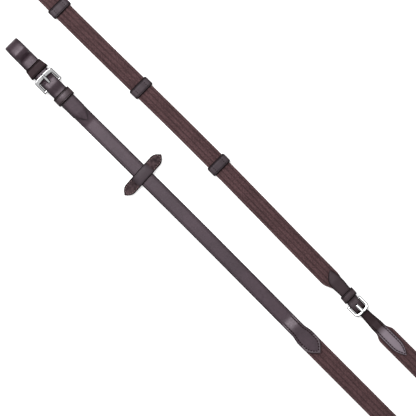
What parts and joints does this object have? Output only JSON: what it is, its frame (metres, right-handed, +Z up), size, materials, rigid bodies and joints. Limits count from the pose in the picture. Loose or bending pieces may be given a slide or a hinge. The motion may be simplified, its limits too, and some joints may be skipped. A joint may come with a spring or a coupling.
{
  "type": "leather reins",
  "caption": "Pair of riding reins: leather front straps with buckled bit loops and sliding rein stops, woven web hand parts with leather hand stops, joined by a centre buckle.",
  "frame": {"origin": "middle of the laid-out reins, on the surface that they lie on", "axes": "+X along the runs of strap, +Y across them, +Z up from the surface"},
  "size_m": [1.1069, 0.2332, 0.0235],
  "materials": {
    "strap_leather": "satin",
    "keeper_leather": "satin",
    "stop_leather": "satin",
    "backing_leather": "matte",
    "webbing": "matte",
    "buckle_metal": "polished"
  },
  "bodies": {
    "reins": {"left_front_strap": "strap_leather", "left_join_backing": "backing_leather", "left_web": "webbing", "left_bit_billet": "strap_leather", "left_bit_keeper": "keeper_leather", "left_hand_stop_1": "stop_leather", "left_hand_stop_2": "stop_leather", "left_hand_stop_3": "stop_leather", "left_hand_stop_4": "stop_leather", "left_hand_stop_5": "stop_leather", "right_front_strap": "strap_leather", "right_join_backing": "backing_leather", "right_web": "webbing", "right_bit_billet": "strap_leather", "right_bit_keeper": "keeper_leather", "right_hand_stop_1": "stop_leather", "right_hand_stop_2": "stop_leather", "right_hand_stop_3": "stop_leather", "right_hand_stop_4": "stop_leather", "right_hand_stop_5": "stop_leather", "centre_chape": "strap_leather", "centre_keeper": "keeper_leather", "centre_billet": "strap_leather", "centre_backing": "backing_leather", "leaf_filler": "backing_leather"},
    "right_bit_buckle": {"right_bit_buckle_frame": "buckle_metal"},
    "right_bit_tongue": {"right_bit_buckle_tongue": "buckle_metal"},
    "right_bit_runner": {"right_bit_runner": "keeper_leather"},
    "right_rein_stop": {"right_rein_stop_top": "stop_leather", "right_rein_stop_back": "stop_leather"},
    "left_bit_buckle": {"left_bit_buckle_frame": "buckle_metal"},
    "left_bit_tongue": {"left_bit_buckle_tongue": "buckle_metal"},
    "left_bit_runner": {"left_bit_runner": "keeper_leather"},
    "left_rein_stop": {"left_rein_stop_top": "stop_leather", "left_rein_stop_back": "stop_leather"},
    "centre_buckle": {"centre_buckle_frame": "buckle_metal"},
    "centre_tongue": {"centre_buckle_tongue": "buckle_metal"}
  },
  "joints": [
    {"name": "right_bit_buckle_swing", "type": "hinge", "parent": "reins", "child": "right_bit_buckle", "pos_m": [-0.2429, -0.0891, 0.0074], "axis": [0, 1, 0], "range_deg": [0, 8]},
    {"name": "right_bit_tongue_swing", "type": "hinge", "parent": "right_bit_buckle", "child": "right_bit_tongue", "pos_m": [-0.2429, -0.0891, 0.0074], "axis": [0, 1, 0], "range_deg": [0, 10]},
    {"name": "right_bit_runner_slide", "type": "slide", "parent": "reins", "child": "right_bit_runner", "axis": [1, 0, 0], "range_m": [-0.007, 0.0012]},
    {"name": "right_rein_stop_slide", "type": "slide", "parent": "reins", "child": "right_rein_stop", "axis": [1, 0, 0], "range_m": [-0.065, 0.19]},
    {"name": "left_bit_buckle_swing", "type": "hinge", "parent": "reins", "child": "left_bit_buckle", "pos_m": [-0.49379, 0.0891, 0.0074], "axis": [0, 1, 0], "range_deg": [0, 8]},
    {"name": "left_bit_tongue_swing", "type": "hinge", "parent": "left_bit_buckle", "child": "left_bit_tongue", "pos_m": [-0.49379, 0.0891, 0.0074], "axis": [0, 1, 0], "range_deg": [0, 10]},
    {"name": "left_bit_runner_slide", "type": "slide", "parent": "reins", "child": "left_bit_runner", "axis": [1, 0, 0], "range_m": [-0.007, 0.0012]},
    {"name": "left_rein_stop_slide", "type": "slide", "parent": "reins", "child": "left_rein_stop", "axis": [1, 0, 0], "range_m": [-0.065, 0.025]},
    {"name": "centre_buckle_swing", "type": "hinge", "parent": "reins", "child": "centre_buckle", "pos_m": [0.1235, -0.0297, 0.0034], "axis": [0, -1, 0], "range_deg": [0, 8]},
    {"name": "centre_tongue_swing", "type": "hinge", "parent": "centre_buckle", "child": "centre_tongue", "pos_m": [0.1235, -0.0297, 0.0034], "axis": [0, -1, 0], "range_deg": [0, 10]}
  ]
}
